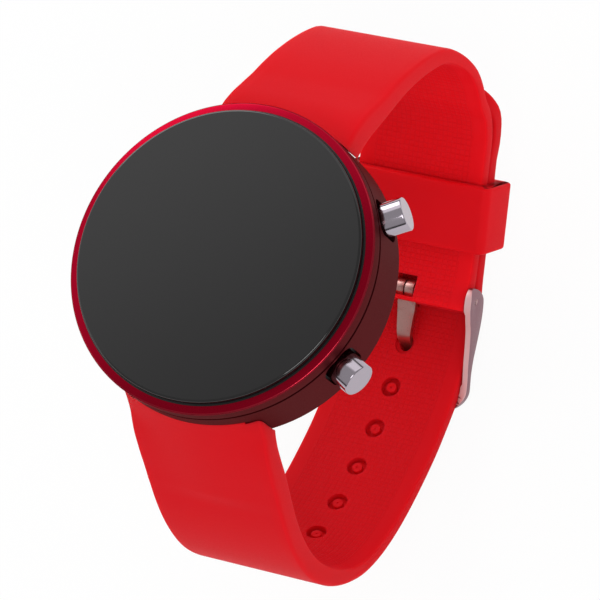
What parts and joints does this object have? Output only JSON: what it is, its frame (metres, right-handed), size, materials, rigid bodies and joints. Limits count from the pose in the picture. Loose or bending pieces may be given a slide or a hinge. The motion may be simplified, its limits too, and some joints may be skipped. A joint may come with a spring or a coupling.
{
  "type": "led wristwatch",
  "caption": "Round LED wristwatch with a raised black mirror lens, red metal case, two push buttons and a silicone strap closed by a pin buckle in a worn loop.",
  "frame": {"origin": "centre of the case back's flat outer face", "axes": "+Z out through the lens, +Y towards 12 o'clock, +X towards 3 o'clock, where the push buttons are"},
  "size_m": [0.0433, 0.0753, 0.069],
  "materials": {
    "case_red": "satin dark red anodised metal",
    "bezel_red": "satin bright red anodised metal",
    "dark_glass": "polished black mirror glass",
    "black_rubber": "matt",
    "steel": "brushed",
    "polished_steel": "polished",
    "red_silicone": "smooth matt silicone",
    "black_plastic": "matt",
    "board_green": "solder mask",
    "chip_black": "matt",
    "lamp_red": "clear red",
    "smoke_film": "smoked film",
    "contact_brass": "bright",
    "insulator": "amber film"
  },
  "bodies": {
    "case": {"back_gasket": "black_rubber", "back_screws": "steel", "battery": "steel", "battery_clip": "steel", "battery_contact": "contact_brass", "bezel": "bezel_red", "board_parts": "chip_black", "buckle_bar": "steel", "buckle_spring": "steel", "case_back": "steel", "case_middle": "case_red", "circuit_board": "board_green", "clip_screws": "steel", "control_chip": "chip_black", "display_film": "smoke_film", "insulator_sheet": "insulator", "lens": "dark_glass", "lens_gasket": "black_rubber", "light_mask": "black_plastic", "lug_bar_lower": "steel", "lug_bar_upper": "steel", "lug_spring_lower": "steel", "lug_spring_upper": "steel", "module_frame": "black_plastic", "pusher_seal_lower": "black_rubber", "pusher_seal_upper": "black_rubber", "pusher_socket_lower": "black_plastic", "pusher_socket_upper": "black_plastic", "pusher_spring_lower": "steel", "pusher_spring_upper": "steel", "quartz_crystal": "steel", "segment_leds": "lamp_red", "strap_long": "red_silicone", "strap_short": "red_silicone", "switch_leaf_lower": "contact_brass", "switch_leaf_upper": "contact_brass"},
    "pusher_upper": {"pusher_upper": "polished_steel", "pusher_clip_upper": "steel"},
    "pusher_lower": {"pusher_lower": "polished_steel", "pusher_clip_lower": "steel"},
    "keeper": {"keeper": "red_silicone"},
    "buckle_frame": {"buckle_frame": "polished_steel"},
    "buckle_tongue": {"buckle_tongue": "polished_steel"},
    "lug_pin_upper_left": {"lug_pin_upper_left": "steel"},
    "lug_pin_upper_right": {"lug_pin_upper_right": "steel"},
    "lug_pin_lower_left": {"lug_pin_lower_left": "steel"},
    "lug_pin_lower_right": {"lug_pin_lower_right": "steel"},
    "buckle_pin_left": {"buckle_pin_left": "steel"},
    "buckle_pin_right": {"buckle_pin_right": "steel"}
  },
  "joints": [
    {"name": "pusher_upper_press", "type": "slide", "parent": "case", "child": "pusher_upper", "axis": [-0.8695, -0.4939, 0], "range_m": [0, 0.0008], "stiffness_N_per_m": 1200, "springref_m": -0.0012, "deforming": ["pusher_spring_upper"]},
    {"name": "pusher_lower_press", "type": "slide", "parent": "case", "child": "pusher_lower", "axis": [-0.8934, 0.4493, 0], "range_m": [0, 0.0008], "stiffness_N_per_m": 1200, "springref_m": -0.0012, "deforming": ["pusher_spring_lower"]},
    {"name": "lug_pin_upper_left_slide", "type": "slide", "parent": "case", "child": "lug_pin_upper_left", "axis": [1, 0, 0], "range_m": [0, 0.00105], "stiffness_N_per_m": 600, "springref_m": -0.001, "deforming": ["lug_spring_upper"]},
    {"name": "lug_pin_upper_right_slide", "type": "slide", "parent": "case", "child": "lug_pin_upper_right", "axis": [-1, 0, 0], "range_m": [0, 0.00105], "stiffness_N_per_m": 600, "springref_m": -0.001, "deforming": ["lug_spring_upper"]},
    {"name": "lug_pin_lower_left_slide", "type": "slide", "parent": "case", "child": "lug_pin_lower_left", "axis": [1, 0, 0], "range_m": [0, 0.00105], "stiffness_N_per_m": 600, "springref_m": -0.001, "deforming": ["lug_spring_lower"]},
    {"name": "lug_pin_lower_right_slide", "type": "slide", "parent": "case", "child": "lug_pin_lower_right", "axis": [-1, 0, 0], "range_m": [0, 0.00105], "stiffness_N_per_m": 600, "springref_m": -0.001, "deforming": ["lug_spring_lower"]},
    {"name": "buckle_pin_left_slide", "type": "slide", "parent": "case", "child": "buckle_pin_left", "axis": [1, 0, 0], "range_m": [0, 0.00105], "stiffness_N_per_m": 600, "springref_m": -0.001, "deforming": ["buckle_spring"]},
    {"name": "buckle_pin_right_slide", "type": "slide", "parent": "case", "child": "buckle_pin_right", "axis": [-1, 0, 0], "range_m": [0, 0.00105], "stiffness_N_per_m": 600, "springref_m": -0.001, "deforming": ["buckle_spring"]},
    {"name": "keeper_slide", "type": "slide", "parent": "case", "child": "keeper", "axis": [0, -0.8934, -0.4493], "range_m": [-0.0028, 0.0024]},
    {"name": "buckle_hinge", "type": "hinge", "parent": "case", "child": "buckle_frame", "pos_m": [0, 0.01472, -0.04858], "axis": [1, 0, 0], "range_deg": [0, 3]},
    {"name": "tongue_hinge", "type": "hinge", "parent": "case", "child": "buckle_tongue", "pos_m": [0, 0.01472, -0.04858], "axis": [1, 0, 0], "range_deg": [0, 3]}
  ],
  "couplings": [
    {"joint": "tongue_hinge", "follows": "buckle_hinge", "ratio": 1}
  ]
}
